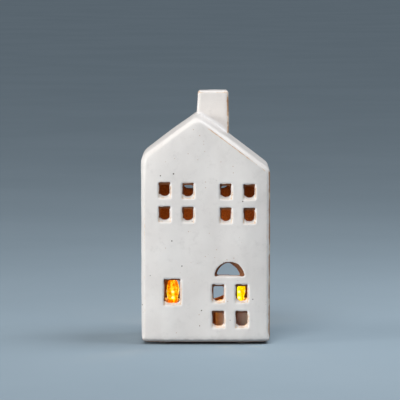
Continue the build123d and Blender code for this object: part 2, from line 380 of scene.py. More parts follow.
# %% Push the outside about, inwards only
sponge_depth = 0.1
slow_depth = 0.32
small_depth = 0.08
seat_level = 1.0
lip = np.clip(spread(np.clip((first_turn - 0.06) / 0.5, 0, 1), 30) * 2.2, 0, 1)
sink = sponge_depth * (1 - lip) + slow_depth * waves(34, 3) + small_depth * waves(8, 5)
sink *= (1 - step(depth, 0.5, 1.6)) * step(height, seat_level, 3 * seat_level)
moved = points - normals * sink[:, None]
print("sunk by up to", round(float(sink.max()), 2), "mm")

# %% [markdown]
# Soft edges all round
#
# Round the gable and down the corners, the outside rolls over towards front and back and meets them in a soft
# line, and the foot is rounded where the wet clay was wiped. A Bevel modifier would treat all edges alike, so
# the points are moved instead, by how far each one lies inside the outline of the house.

# %% Roll the outline over at front and back
wall_radius = 9.0
wall_reach = 6.5
gable_radius = 7.0
gable_reach = 6.0
at_gable = step(up, 122, 136)
roll_radius = wall_radius + (gable_radius - wall_radius) * at_gable
roll_reach = wall_reach + (gable_reach - wall_reach) * at_gable


def from_outline(left_eave_round, ridge_round, right_eave_round):
    """How far points lie inside the house's outline with its corners rounded, and the way inwards."""
    inside = side_depths.min(1)
    way = inward[side_depths.argmin(1)]
    for corner, size in enumerate((left_eave_round, ridge_round, right_eave_round), start=1):
        before, after = inward[corner - 1], inward[corner]
        off = flat - outline[corner] - size * (before + after) / (1 + before @ after)
        away = np.linalg.norm(off, axis=1).clip(0.001)
        in_arc = (off @ along_line[corner - 1] > 0) & (off @ along_line[corner] < 0) & (away > 0.5)
        inside = np.where(in_arc, size - away, inside)
        way = np.where(in_arc[:, None], -off / away[:, None], way)
    return inside, way


end_depth = np.minimum(front_depth, back_depth)
at_end = step(end_depth, 9, 1)
outline_depth, way_in = from_outline(10, 5.5, 8)
rounder_depth, rounder_way = from_outline(12, 9.5, 9)
outline_depth = outline_depth + (rounder_depth - outline_depth) * at_end
way_in = way_in + (rounder_way - way_in) * at_end[:, None]
off_chimney = 1 - step(chimney_depth, -6, -1.5)
roll = roll_radius - np.sqrt(roll_radius**2 - np.clip(roll_reach - end_depth, 0, roll_reach) ** 2)
near_outline = (outline_depth > -3) & (outline_depth < roll_reach)
push = np.where(near_outline, np.clip(roll - outline_depth, 0, None), 0.0) * off_chimney
push *= step(height, 0, 9)
moved[:, 0] += way_in[:, 0] * push
moved[:, 2] += way_in[:, 1] * push
print("outline rolled over by up to", round(float(push.max()), 2), "mm")

# %% Round the foot and ease the corner edges and the gable's line
foot_round = 5.0


def rounded(first_depth, second_depth, size):
    """Shares to move two ways to round the edge between two faces, given the depth behind each."""
    first = np.clip(size - first_depth, 0, None)
    second = np.clip(size - second_depth, 0, None)
    away = np.hypot(first, second).clip(0.001)
    at_edge = (first > 0) & (second > 0) & (first_depth > -0.8) & (second_depth > -0.8)
    share = np.where(at_edge, np.clip(away - size, 0, None), 0.0) / away
    return share * first, share * second


lift = np.zeros_like(points)
for to_face, axis, way in ((front_depth, 1, 1.0), (back_depth, 1, -1.0),
                           (from_left, 0, 1.0), (from_right, 0, -1.0)):
    rise, inwards = rounded(height, to_face, foot_round)
    lift[:, 2] += rise
    lift[:, axis] += way * inwards
moved += spread(lift, 3)
moved = settle(moved, spread(np.where((push > 0.2) & (at_gable < 0.9), 1.0, 0.0), 3), 4)
crease_depth = gable_radius - math.sqrt(gable_radius**2 - gable_reach**2)
past_crease = outline_depth - crease_depth + 0.2
on_crease = bell(past_crease * step(front_depth, 3, 2), 2) * at_gable * (front_depth < 3)
on_crease *= off_chimney
on_crease *= 1 - 0.75 * step(across, 2, 14)
moved = settle(moved, on_crease, 20)
print("foot lifted by up to", round(float(lift[:, 2].max()), 2), "mm")

# %% [markdown]
# Set by eye
#
# The slabs were put together by hand: the roof sits a little high, most on the right, the chimney narrows
# upwards with worn top corners, the left wall leans out at its foot, and front and back bow away towards the
# corners. Each is a slow move of a whole region, kept smooth by a step between two places.

# %% Set the roof and the chimney
right_rise = 1.3
left_rise = 0.45
chimney_widening = 0.8
left_taper = 1.2
right_taper = 0.4
left_corner_round = 1.9
right_corner_round = 3.2
foot_lean = 0.75
over_eaves = step(up, 122, 135) * (1 - step(up, 166, 188))
moved[:, 2] += right_rise * over_eaves * step(across, -7, 6)
moved[:, 2] += left_rise * over_eaves * step(across, -12, -24)
up_chimney = step(up, 168, 192)
chimney_left = step(across, 8, -4) * on_chimney
chimney_right = step(across, 4, 16) * on_chimney
moved[:, 0] += (chimney_left * (left_taper * up_chimney - chimney_widening)
                + chimney_right * (chimney_widening - right_taper * up_chimney))
for to_side, way, size in ((across - chimney_low[0], 1, left_corner_round),
                           (chimney_high[0] - across, -1, right_corner_round)):
    down, inwards = rounded(house_high[2] - up, to_side, size)
    moved[:, 2] -= down
    moved[:, 0] += way * inwards
moved[:, 0] -= foot_lean * (1 - step(up, 0, left_eave)) * step(across, -38, -46)
print("right roof raised by", right_rise, "mm, chimney tapered by", left_taper + right_taper, "mm")

# %% Let front and back bow a little
bow_depth = 2.8
bow_reach = 24.0
gable_bow_reach = 14.0
bow = bow_depth * np.clip(1 - np.minimum(from_left, from_right) / bow_reach, 0, 1) ** 2
gable_bow_depth = 0.6 - 0.3 * step(across, -12, 6)
gable_share = np.clip(1 - (outline_depth - crease_depth) / gable_bow_reach, 0, 1) ** 2
bow += spread(gable_bow_depth * gable_share * at_gable, 16)
moved[:, 1] += bow * step(front_depth, 14, 4) - bow * step(back_depth, 14, 4)
print("corners drawn back by up to", round(float(bow.max()), 2), "mm")

# %% [markdown]
# Hand-cut openings
#
# The openings are cut with a knife held at a slant and wiped with a wet finger, so they widen towards the
# front and narrow inside, and their lower corners fill up into an arc. The record says where each one is, so
# one function cuts them all, with the slants of its kind.

# %% How one opening is cut
to_front = 1 - step(front_depth, 0.2, wall - 0.3)
to_inside = step(front_depth, 0.5, wall) * (1 - step(front_depth, wall + 1, wall + 8))
inset = 0.6
corner_round = 2.9
top_round = 2.2
left_round = 1.4
filled = np.zeros(point_count)
# For each edge: how much wider at the front, and how much narrower inside.
cuts = {
    "pane": {"sill": (1.2, 0.5), "top": (1.1, 0.5), "left": (0.5, 0.6), "right": (0.9, 0.2)},
    "door": {"sill": (0.65, 0.8), "top": (0.85, 0.6), "left": (-0.35, 1.5), "right": (0.6, 0.2)},
    "tall": {"sill": (0.7, 0.9), "top": (0.6, 0.2), "left": (0.25, 0.6), "right": (0.9, 0.4)},
}


def fading(away, outside, inside):
    """1 at an edge, falling to 0 at a distance outside it and another inside it."""
    out_share = np.clip(1 - away / outside, 0, 1) ** 2
    in_share = np.clip(1 + away / inside, 0, 1)
    return np.where(away > 0, out_share, in_share)


def splay(low, high, cut):
    """Widen one square opening towards the front, and round its lower corners inside."""
    off_sides = np.maximum(low[0] - across, across - high[0])
    off_ends = np.maximum(low[2] - up, up - high[2])
    beside = 1 - step(off_sides, 0, 4)
    level = 1 - step(off_ends, 0, 4)
    slants = {
        "sill": (2, -1, beside * fading(low[2] - up, 7, 4)),
        "top": (2, 1, beside * fading(up - high[2], 6, 4)),
        "right": (0, 1, level * fading(across - high[0], 6, 4)),
        "left": (0, -1, level * fading(low[0] - across, 6, 4)),
    }
    for name, (axis, way, share) in slants.items():
        wider, narrower = cut[name]
        moved[:, axis] += way * (wider * to_front - narrower * to_inside) * share
    for axis, way, past, off, size in ((2, 1, up - high[2], off_sides, top_round),
                                       (0, -1, low[0] - across, off_ends, left_round)):
        outwards, back = rounded(past, front_depth, size)
        there = 1 - step(off, -1, 0.6)
        moved[:, axis] += way * outwards * there
        moved[:, 1] += back * there
    inner = step(front_depth, 0.3, 2.5) * (front_depth < wall + 2)
    for corner, way in ((low[0], 1), (high[0], -1)):
        aside, rise = rounded(way * (across - corner), up - low[2], corner_round)
        moved[:, 0] += way * aside * inner
        moved[:, 2] += rise * inner
    at_sill = (1 - step(off_sides, 0.4, 1.2)) * step(np.abs(up - low[2]), corner_round, 0.3 * corner_round)
    np.maximum(filled, at_sill, out=filled)


print("kinds of opening:", ", ".join(cuts))

# %% Splay the openings
rim = np.zeros(point_count)


def note_rim(low, high, cut):
    """Note where the glaze runs thin round an opening: down its right edge and at its lower corners."""
    sideways, level = moved[:, 0], moved[:, 2]
    left = low[0] - cut["left"][0]
    right = high[0] + cut["right"][0]
    bottom = low[2] - cut["sill"][0]
    over_bottom = step(level, bottom - 1, bottom)
    beside_right = bell(sideways - right + 0.4, 1) * over_bottom * step(level, high[2] + 1, high[2] - 3)
    beside_left = bell(sideways - left, 0.6) * over_bottom * step(level, bottom + 8, bottom + 2)
    below = bell(level - bottom, 0.6) * (sideways > left - 0.7) * (sideways < right + 0.7)
    found = np.maximum(np.maximum(beside_right, 0.9 * beside_left), 0.7 * below)
    np.maximum(rim, found * step(front_depth, 2.6, 1.2), out=rim)


splayed = 0
for opening in frame["record"]["physics"]["openings"]:
    kind = opening["name"].split("_")[0].replace("upper", "pane").replace("lower", "pane")
    if kind not in cuts or opening["name"] == "upper_room":
        continue
    low, high = np.array(opening["box_m"]) / mm
    splay(low - inset, high + inset, cuts[kind])
    note_rim(low - inset, high + inset, cuts[kind])
    splayed += 1
print("square openings splayed:", splayed)

# %% Splay the fanlight
fan_x = 18.5
fan_foot = 53.6
fan_width = 22.0
fan_rise = 9.8
left_slant = 1.2
right_slant = 3.4
right_drop = 0.9
fan_radius = (fan_width**2 / 4 + fan_rise**2) / (2 * fan_rise)
from_centre = flat - np.array([fan_x, fan_foot + fan_rise - fan_radius])
from_centre_length = np.linalg.norm(from_centre, axis=1)
fan_away = from_centre_length - fan_radius
over_sill = step(up, fan_foot - 1.5, fan_foot + 1)
fan_side = from_centre[:, 0] / from_centre_length.clip(1)
right_arch = over_sill * step(fan_side, -0.3, 0.6) * to_inside * fading(fan_away, 9, 30)
left_arch = over_sill * step(-fan_side, 0, 0.6) * to_inside * fading(fan_away, 9, 30)
moved[:, 0] += left_slant * left_arch - right_slant * right_arch
moved[:, 2] -= right_drop * right_arch
under_fan = 1 - step(np.abs(across - fan_x), fan_width / 2, fan_width / 2 + 4)
moved[:, 2] += (0.5 * to_inside - 0.7 * to_front) * under_fan * fading(fan_foot - up, 6, 3)
print("fanlight radius:", round(fan_radius, 2), "mm")

# %% Settle the joint between roof and chimney
in_joint = spread(np.where(depth < 3, np.clip((-first_turn - 0.05) / 0.5, 0, 1), 0.0), 4)
moved = settle(moved, np.clip(in_joint * 2, 0, 1), 16)
moved = np.clip(moved, house_low, house_high)
clay.vertices.foreach_set("co", (moved * mm).astype(np.float32).ravel())
clay.update()
turn = turning(moved, read_vectors(clay, "normal"))
print("sharpest turn per mm:", round(float(turn.max()), 2))

# %% [markdown]
# What the glaze needs to know
#
# Glaze stops a little way into each opening, runs thin over edges, is wiped off under the foot and pools in
# hollows. Some values also carry painted shade: the glaze stops sooner on lintels and left jambs so their
# bare clay reads as shade, the brown down the right-hand edges is partly thin glaze and partly painted shade,
# and the foot is painted grey as shade. Five values for each point are kept on the mesh as attributes, so the
# material follows the real shape. The fine mesh is then thinned where it is flat, and the attributes survive
# that.

# %% Keep the glaze's values as attributes
ragged = waves(6, 11) - 0.5
# Painted shade: lintels and left jambs lose their glaze sooner, so their darker bare clay stands for the
# shade under the lintels and on jambs facing away from the light.
left_jamb = np.where(depth > 0.3, step(normals[:, 0], 0.2, 0.8), 0)
lintel = np.where((depth > 0.2) & (height > 8), step(-normals[:, 2], 0.2, 0.8), 0)
arch = over_sill * step(np.abs(fan_away), 3, 1.5) * (front_depth < wall)
reached = depth + (1.1 - 0.6 * filled) * ragged + 1.5 * left_jamb * (1 - filled) - 0.9 * filled
cover_and_shade = 1 - step(reached + 2.0 * lintel + 1.8 * arch, 2.2, 3.3)
cover_and_shade *= 1 - step(-normals[:, 2], 0.9, 0.99) * (height < 0.5)
# From, to, how far to either side, and how thin.
thin_and_shaded_lines = {
    "chimney corner": ((16.6, 15, 191), (17.7, 15.4, 188), 1, 0.9),
    "chimney front edge": ((-5, 15.2, 191.8), (15, 15.2, 191.8), 0.5, 0.5),
    # Partly thin glaze and partly painted shade: the chimney's and the front's right-hand edges get a deep
    # brown that stands for the shade on the side away from the light.
    "chimney right edge": ((17.9, 15.8, 190), (17.9, 15.8, 160), 1.5, 1.9),
    "right front edge": ((50, -33.4, 131), (50, -33.4, 4), 2.1, 2.2),
    "right back edge": ((49.8, 34, 131), (49.8, 34, 4), 1.6, 1),
    "left back edge": ((-49.4, 34, 141), (-48.9, 34, 4), 1.6, 0.9),
    "chimney back edge": ((17.9, 32.6, 190), (17.9, 32.6, 160), 1.2, 1.1),
}
broken = 0.42 + 0.8 * waves(11, 21)
thin = np.zeros(point_count)
for start, end, reach, most in thin_and_shaded_lines.values():
    run = np.array(end) - np.array(start)
    along = np.clip((points - start) @ run / (run @ run), 0, 1)
    away = np.linalg.norm(points - start - along[:, None] * run, axis=1)
    thin = np.maximum(thin, most * broken * bell(away, reach))
crease = bell(past_crease, 0.9) * step(front_depth, 2.5, 0.8) * at_gable
crease *= 0.3 + 0.9 * step(across, -1, 4) - 0.55 * step(across, 26, 42)
crease *= step(-way_in[:, 1], 0.3, 0.7)
# Painted shade: the glaze at the foot is painted grey, darker towards the floor, standing for the shade
# there.
foot = step(moved[:, 2] - house_low[2] + 0.5 * ragged, 4, 0.8) * step(depth, 2, 1)
glaze_values = {
    "glaze_cover_and_shade": cover_and_shade,
    # thin glaze, with painted shade on the right-hand edges
    "glaze_thin_and_shade": np.maximum(np.maximum(thin, crease), rim),
    "edge_turn": np.clip((spread(turn, 2) - 0.08) / 0.45, 0, 1),
    "glaze_pool": spread(np.clip((-spread(turn, 3) - 0.05) / 0.5, 0, 1), 4),
    "foot": foot,
}
for name, values in glaze_values.items():
    clay.attributes.new(name, "FLOAT", "POINT").data.foreach_set("value", values.astype(np.float32))
clay.update()
print("share of points under glaze:", round(float((cover_and_shade > 0.5).mean()), 2))

# %% Thin out the flat faces
kept_share = 0.28
clay_body = show("clay_body", clay)
thinning = clay_body.modifiers.new("thin out flat faces", "DECIMATE")
thinning.ratio = kept_share
thinning.use_collapse_triangulate = True
house = show("stoneware_house", plain_mesh(clay_body))
house.data.shade_smooth()
print("house mesh:", len(house.data.vertices), "points,", len(house.data.polygons), "triangles")

# %% [markdown]
# The glaze
#
# A white satin glaze over iron-bearing clay: cloudy white where it lies thick, tan and toasted brown where it
# runs thin over an edge, with a few iron specks burnt through. Where it stops, the bare clay is brown and
# sandy. Some of it is painted shade: the right-hand edges are browner than thin glaze alone would make them,
# the lintels and left jambs are left bare, and the foot is painted grey, each for the shade there. One
# material holds both and blends them by the values kept on the mesh.

# %% Glazed stoneware material
stoneware, shader, place, clouds, grain = new_material("glazed_stoneware", 26, 900)
drawn_down = put("ShaderNodeMapping", {"Vector": place, "Scale": (1.0, 1.0, 0.22)}, vector_type="POINT")
streaks = noise(drawn_down[0], 70, 3)
mottle = noise(place, 150, 6, 0.7)
edge_noise = ranged(noise(place, 240, 4, 0.6), 0.3, 0.7, -0.24, 0.24)
turned_thin = times(kept(shader, "edge_turn"), 0.75)
thin_and_shaded = plus(turned_thin, times(kept(shader, "glaze_thin_and_shade"), 0.85), edge_noise)
flecks = specks(place, 230, 0.12, 0.5)
iron = specks(place, 125, 0.1, 0.75)
white = layered(
    (225, 219, 214), (clouds, (234, 229, 224)),
    (ranged(streaks, 0.45, 0.75, 0, 0.4), (216, 210, 205)),
    (ranged(mottle, 0.5, 0.76, 0, 0.45), (209, 203, 198)),
    (ranged(kept(shader, "glaze_pool"), 0, 0.6, 0, 0.6), (238, 236, 237)),
    (ranged(thin_and_shaded, 0.4, 0.95, 0, 0.75), (216, 174, 126)),
    # toasted brown: thin glaze, and painted shade on the right-hand edges
    (ranged(thin_and_shaded, 0.85, 1.4, 0, 0.85), (150, 98, 62)),
    # painted shade at the foot: grey towards the floor
    (ranged(kept(shader, "foot"), 0, 1, 0, 0.75), (118, 112, 110)),
    (times(flecks, 0.6), (176, 132, 96)),
    (iron, (64, 42, 32)),
)
bare = layered(
    (100, 58, 34), (grain, (138, 88, 56)),
    (ranged(clouds, 0.2, 0.9, 0, 0.45), (84, 46, 26)),
    (specks(place, 700, 0.32, 0.35), (66, 41, 28)),
)
# Where the glaze stops, bare clay shows. On lintels and left jambs this is also painted shade.
covered = ranged(plus(kept(shader, "glaze_cover_and_shade"), times(edge_noise, 0.5)), 0.35, 0.65)
glaze_line = times(covered, minus(1.0, covered))
finish = blended(covered, bare, white)
finish = blended(sum_of("MULTIPLY", glaze_line, 2.4, True), finish, colour(120, 66, 36))
glaze_relief = minus(times(clouds, 0.8), specks(place, 330, 0.11, 0.3))
feed(shader, Base_Color=finish,
     Roughness=between(covered, 0.86, ranged(clouds, 0, 1, 0.36, 0.48)),
     Normal=bumped(between(covered, grain, glaze_relief), 0.12 * mm),
     Coat_Weight=times(covered, 0.12), Coat_Roughness=0.15, Specular_IOR_Level=0.35)
house.data.materials.append(stoneware)
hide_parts("house_shell")
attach(house, "house")
print("glaze nodes:", len(shader.id_data.nodes))

# %% [markdown]
# The tea lights' cups
#
# A battery tea light has a cup of ivory plastic whose top edge is moulded to look like melted wax. It is a
# turned shape, so its profile goes round in steps, and the rim dips and swells as it goes. Everything stays
# inside the CAD cup.

# %% Turn a profile
sides = ("left", "right")
cup_low, cup_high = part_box("left_candle_cup")
light_axis = {side: sum(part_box(f"{side}_candle_cup"), Vector()) / 2 for side in sides}
cup_radius = (cup_high.x - cup_low.x) / 2 / mm
cup_height = (cup_high.z - cup_low.z) / mm
stand = cup_low.z


def turned(name, profile, centre, steps, shape):
    """A profile carried round the light's axis, each point moved by shape(angle, radius, level)."""
    rings = len(profile)
    corners = []
    faces = []
    for index in range(steps):
        angle = 2 * math.pi * index / steps
        for radius, level in profile:
            radius, level = shape(angle, radius, level)
            x = centre.x + radius * math.cos(angle) * mm
            y = centre.y + radius * math.sin(angle) * mm
            corners.append((x, y, stand + level * mm))
        here = index * rings
        following = (index + 1) % steps * rings
        for ring in range(rings):
            after = (ring + 1) % rings
            faces.append((here + ring, following + ring, following + after, here + after))
    mesh = bpy.data.meshes.new(name)
    mesh.from_pydata(corners, [], faces)
    return show(name, mesh)


def finish_mesh(thing, sharp_degrees):
    """Make faces point outwards and shade them smooth up to an angle."""
    solid = bmesh.new()
    solid.from_mesh(thing.data)
    bmesh.ops.recalc_face_normals(solid, faces=solid.faces)
    solid.to_mesh(thing.data)
    solid.free()
    thing.data.shade_smooth()
    thing.data.set_sharp_from_angle(angle=math.radians(sharp_degrees))


print("cup:", round(2 * cup_radius, 2), "mm across,", round(cup_height, 2), "mm high")

# %% Turn the cups
cup_wall = 1.2
inner_wall = cup_radius - 1.8
dish = cup_height - 2.4
neck_hole = 3.5
base_step = 3.0
melt_from = 14
cup_steps = 120
# How far in from the outside, and how far below the top.
rim_profile = [(0, 2.6), (0.15, 1.0), (0.6, 0.3), (1.2, 0), (2.0, 0.35), (3.0, 1.2), (4.4, 2.1), (6, 2.4)]
cup_profile = [
    (cup_radius - cup_wall, 0), (cup_radius - 0.3, 0), (cup_radius, 0.3),
    (cup_radius, 6), (cup_radius, 12), (cup_radius, 17),
    *((cup_radius - inwards, cup_height - below) for inwards, below in rim_profile),
    (8, dish), (neck_hole + 0.4, dish), (neck_hole, dish - 0.3), (neck_hole, dish - cup_wall),
    (inner_wall, dish - cup_wall), (inner_wall, base_step), (cup_radius - cup_wall, base_step),
]


def melted(turn_start):
    """A rim that dips in a few uneven places, as if the wax had run."""
    def shape(angle, radius, level):
        swell = math.sin(2 * angle + turn_start) + 0.6 * math.sin(5 * angle + 2.1 * turn_start)
        share = max(0.0, min(1.0, (level - melt_from) / (cup_height - melt_from)))
        dip = 0.9 * (0.5 + 0.31 * swell) * share if radius > cup_radius - 4 else 0.0
        pinch = 0.35 * (0.5 + 0.5 * math.sin(3 * angle + turn_start)) * share if radius > 10 else 0.0
        return radius - pinch, level - dip

    return shape


def paint_flame_light(cup, centre, most):
    """Note how near each point of the cup's top lies to the lamp, for the flame's light painted on the
    plastic.
    """
    painted_flame_light = cup.data.attributes.new("painted_flame_light", "FLOAT", "POINT")
    for index, corner in enumerate(cup.data.vertices):
        off_axis = math.hypot(corner.co.x - centre.x, corner.co.y - centre.y) / mm
        sunk = max(0.0, dish - (corner.co.z - stand) / mm)
        painted_flame_light.data[index].value = most * max(0.0, 1 - off_axis / cup_radius) * max(0.0, 1 - sunk / 3)


cups = {}
# How strongly the flames' light is painted on each cup.
for side, turn_start, most in (("left", 0.6, 1.0), ("right", 2.3, 0.55)):
    cups[side] = turned(f"{side}_wax_cup", cup_profile, light_axis[side], cup_steps, melted(turn_start))
    finish_mesh(cups[side], 40)
    paint_flame_light(cups[side], light_axis[side], most)
print("cups:", [(cup.name, len(cup.data.polygons)) for cup in cups.values()])

# %% Ivory plastic for the cups, with the flames' light painted on
wax, shader, place, clouds, grain = new_material("wax_look_plastic", 140, 1600)
painted_flame_light = kept(shader, "painted_flame_light")
ivory_and_flame_light = layered(
    (226, 214, 192), (clouds, (238, 230, 214)),
    (specks(place, 420, 0.1, 0.25), (196, 178, 150)),
    # painted light: amber towards the lamp, for the flame's light on the cup's top
    (ranged(painted_flame_light, 0, 0.4, 0, 0.95), (150, 66, 12)),
)
# painted light: the cup's top glows near the lamp though it is no lamp
lit = layered((0, 0, 0), (ranged(painted_flame_light, 0.05, 0.65), (236, 104, 2)))
feed(shader, Base_Color=ivory_and_flame_light, Roughness=ranged(grain, 0, 1, 0.38, 0.52),
     Emission_Color=lit, Emission_Strength=0.2,
     Subsurface_Weight=0.25, Subsurface_Radius=(2.0 * mm, 1.2 * mm, 0.7 * mm), Subsurface_Scale=1.0,
     Normal=bumped(plus(clouds, times(grain, 0.2)), 0.08 * mm))
for side, cup in cups.items():
    cup.data.materials.append(wax)
    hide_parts(f"{side}_candle_cup")
    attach(cup, f"{side}_light")
print("wax nodes:", len(shader.id_data.nodes))

# %% [markdown]
# Shapes that follow a rule
#
# The flames, the ribs under the switches and the fibres of the felt repeat or follow a rule, so Geometry
# Nodes make them. One helper starts a tree, one ends it, and one runs it and keeps what it makes.

# %% Helpers for Geometry Nodes
WHOLE = "NodeSocketInt"
SHAPE = "NodeSocketGeometry"
FINISH = "NodeSocketMaterial"


def new_rule(name, inputs, sizes):
    """A Geometry Nodes tree with inputs of these kinds, and a number for each size."""
    return new_tree("GeometryNodeTree", name, {**inputs, **dict.fromkeys(sizes, NUMBER)}, {"Geometry": SHAPE})


def end_rule(result, shape, material):
    """End a tree as the export needs it: real faces with their material."""
    real = put("GeometryNodeRealizeInstances", {"Geometry": shape})[0]
    give(result[0], put("GeometryNodeSetMaterial", {"Geometry": real, "Material": material})[0])


def grown(name, tree, values, start=None):
    """Run a tree with these values, on a mesh or on nothing, and show what it makes as a plain mesh."""
    seedling = show(f"{name}_rule", start or bpy.data.meshes.new(f"{name}_rule"))
    rule = seedling.modifiers.new("rule", "NODES")
    rule.node_group = tree
    for socket in tree.interface.items_tree:
        if socket.in_out == "INPUT" and socket.name in values:
            rule[socket.identifier] = values[socket.name]
    return show(name, plain_mesh(seedling))


# %% [markdown]
# The flames
#
# Each light has a hollow amber flame, moulded with shallow flutes that twist as they rise. A radius for each
# height and a twist describe it, so a flat grid is bent into it: one way round the axis, the other way up the
# outside, over the tip and down the inside.

# %% The flame's sizes and its tree
flame_sizes = {
    "Foot": 24.5 * mm, "Neck Height": 27.7 * mm, "Tip Height": 50.0 * mm, "Widest Radius": 5.0 * mm,
    "Wall": 0.8 * mm, "Flutes": 7.0, "Flute Depth": 0.035, "Twist": 1.5, "Lean": 0.25 * mm,
}
flame_profile = [(0.0, 0.68), (1.0, 0.0), (0.125, 0.68), (0.3, 0.84), (0.55, 1.0), (0.75, 0.8), (0.9, 0.42)]
flame_rule, given, result = new_rule("fluted_flame", {"Centre": PLACE, "Material": FINISH}, flame_sizes)


def shaped(curve_points, value):
    """A smooth curve through a few points, for values between 0 and 1."""
    made = put_in(value.id_data, "ShaderNodeFloatCurve", {"Value": value})
    line = made.mapping.curves[0].points
    for index, place in enumerate(curve_points):
        spot = line[index] if index < 2 else line.new(*place)
        spot.location = place
    made.mapping.update()
    return made.outputs[0]


def noted(shape, name, value):
    """Keep a value on the points as an attribute."""
    inputs = {"Geometry": shape, "Name": name, "Value": value}
    return put("GeometryNodeStoreNamedAttribute", inputs, data_type="FLOAT")[0]


print("flame inputs:", ", ".join(flame_sizes))

# %% Bend a grid into the flame
around_steps = 84
up_steps = 96
grid_sizes = {"Size X": 1.0, "Size Y": 1.0, "Vertices X": around_steps + 1, "Vertices Y": up_steps + 1}
grid = put_in(flame_rule, "GeometryNodeMeshGrid", grid_sizes).outputs["Mesh"]
spot = split(put_in(flame_rule, "GeometryNodeInputPosition").outputs[0])
angle = times(plus(spot[0], 0.5), 2 * math.pi)
travel = plus(spot[1], 0.5)
on_inside = sum_of("GREATER_THAN", travel, 0.5)
rise = minus(1.0, sum_of("ABSOLUTE", minus(times(travel, 2.0), 1.0)))
full_height = plus(given["Foot"], times(rise, minus(given["Tip Height"], given["Foot"])))
over_neck = ranged(full_height, given["Neck Height"], plus(given["Neck Height"], 4.0 * mm))
flute_turn = plus(times(angle, given["Flutes"]), times(rise, given["Twist"], given["Flutes"]))
flute = sum_of("COSINE", flute_turn)
fluted = plus(minus(1.0, given["Flute Depth"]), times(flute, given["Flute Depth"], over_neck))
outer_radius = times(given["Widest Radius"], shaped(flame_profile, rise), fluted)
wall_there = times(on_inside, given["Wall"])
radius = sum_of("MAXIMUM", minus(outer_radius, wall_there), 0.0)
rise_squared = times(rise, rise)
flat_place = put("ShaderNodeCombineXYZ", {
    0: plus(times(radius, sum_of("COSINE", angle)), times(given["Lean"], rise_squared)),
    1: times(radius, sum_of("SINE", angle)),
    2: minus(full_height, times(wall_there, 3.0, rise_squared)),
})
real_place = put("ShaderNodeVectorMath", {0: flat_place[0], 1: given["Centre"]}, operation="ADD")
around_four = sum_of("COSINE", times(plus(angle, math.pi / 2), 4.0))
shape = noted(noted(grid, "facing_flat", around_four), "flute", flute)
bent = put("GeometryNodeSetPosition", {"Geometry": shape, "Position": real_place[0]})
closed = put("GeometryNodeMergeByDistance", {"Geometry": bent[0], "Distance": 0.004 * mm})
end_rule(result, closed[0], given["Material"])
print("flame rule:", len(flame_rule.nodes), "nodes")

# %% Amber plastic with the lamp's light painted in as glow
black = (0.0, 0.0, 0.0, 1.0)


def amber(name, deep, middle, bright, hot):
    """Amber plastic with the lamp's light painted in as glow: mottled, brighter on the flutes, with painted
    hot spots near the lamp.
    """
    material, shader, place, clouds, grain = new_material(name, 420, 1100)
    level_up = split(place)[2]
    facing = kept(shader, "facing_flat")
    level = plus(
        times(clouds, 0.55), times(grain, 0.25), times(kept(shader, "flute"), 0.12),
        times(facing, 0.2), ranged(level_up, 36 * mm, 49 * mm, 0.2, -0.25),
        ranged(level_up, 29.0 * mm, 32.5 * mm, -0.5, 0))
    glow = layered(deep, (ranged(level, 0.1, 0.5), middle), (ranged(level, 0.45, 0.88), bright))
    aside = times(sum_of("ARCCOSINE", facing), 4.4 * mm / 4)
    # Painted hot spots: bright patches on the flat sides, where the lamp shows through the lens.
    for spot_height, spot_size in ((32.6 * mm, 1.6 * mm), (37.2 * mm, 1.4 * mm)):
        above = minus(level_up, spot_height)
        off_spot = put("ShaderNodeCombineXYZ", {0: aside, 1: above})[0]
        away = put("ShaderNodeVectorMath", {0: off_spot}, operation="LENGTH")["Value"]
        glow = blended(ranged(away, spot_size, 0.3 * mm), glow, colour(*hot))
    # Painted light: the plastic itself emits, standing for the lamp's light inside it.
    feed(shader, Base_Color=blended(0.45, glow, black), IOR=1.49, Transmission_Weight=0.35,
         Roughness=ranged(grain, 0, 1, 0.14, 0.28), Emission_Color=glow, Emission_Strength=0.75,
         Normal=bumped(clouds, 0.15 * mm))
    return material


flame_colours = {
    "left": [(214, 96, 0), (248, 166, 2), (255, 230, 52), (255, 252, 190)],
    "right": [(240, 170, 0), (250, 222, 0), (255, 244, 30), (255, 255, 200)],
}
for side in sides:
    centre = (light_axis[side].x, light_axis[side].y, 0.0)
    glowing = amber(f"amber_flame_{side}", *flame_colours[side])
    values = {**flame_sizes, "Centre": centre, "Material": glowing}
    flame = grown(f"{side}_flame_moulding", flame_rule, values)
    finish_mesh(flame, 60)
    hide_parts(f"{side}_flame_lens")
    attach(flame, f"{side}_light")
    print(flame.name, len(flame.data.polygons), "faces")

# %% [markdown]
# The lamps, and the plastic and metal underneath
#
# The lamp is a small diode of clear epoxy on two tinned leads. Base, cover and switch are injection moulded,
# with a fine spark-eroded grain. The cell and the contact strips are nickel-plated steel with faint handling
# marks. Their CAD shapes are right, so they only need their finishes.

# %% Lamp, plastics and metals
lamp, shader, place, clouds, grain = new_material("lamp_epoxy", 500, 2500)
above_post = ranged(split(place)[2], 27.4 * mm, 27.7 * mm)
epoxy = layered((255, 214, 90), (clouds, (255, 236, 150)))
feed(shader, Base_Color=blended(above_post, colour(196, 196, 198), epoxy),
     Metallic=minus(1, above_post), Roughness=ranged(grain, 0, 1, 0.18, 0.34),
     Emission_Color=blended(above_post, black, epoxy), Emission_Strength=14.0)


def moulded(name, first, second, grain_depth):
    """Injection-moulded plastic with a fine eroded grain and slight cloudiness."""
    material, shader, place, clouds, grain = new_material(name, 180, 2600)
    darker = (*(0.6 * part for part in colour(*first)[:3]), 1.0)
    body = blended(specks(place, 600, 0.08, 0.2), layered(first, (clouds, second)), darker)
    feed(shader, Base_Color=body, Roughness=ranged(grain, 0, 1, 0.4, 0.6),
         Normal=bumped(grain, grain_depth))
    return material


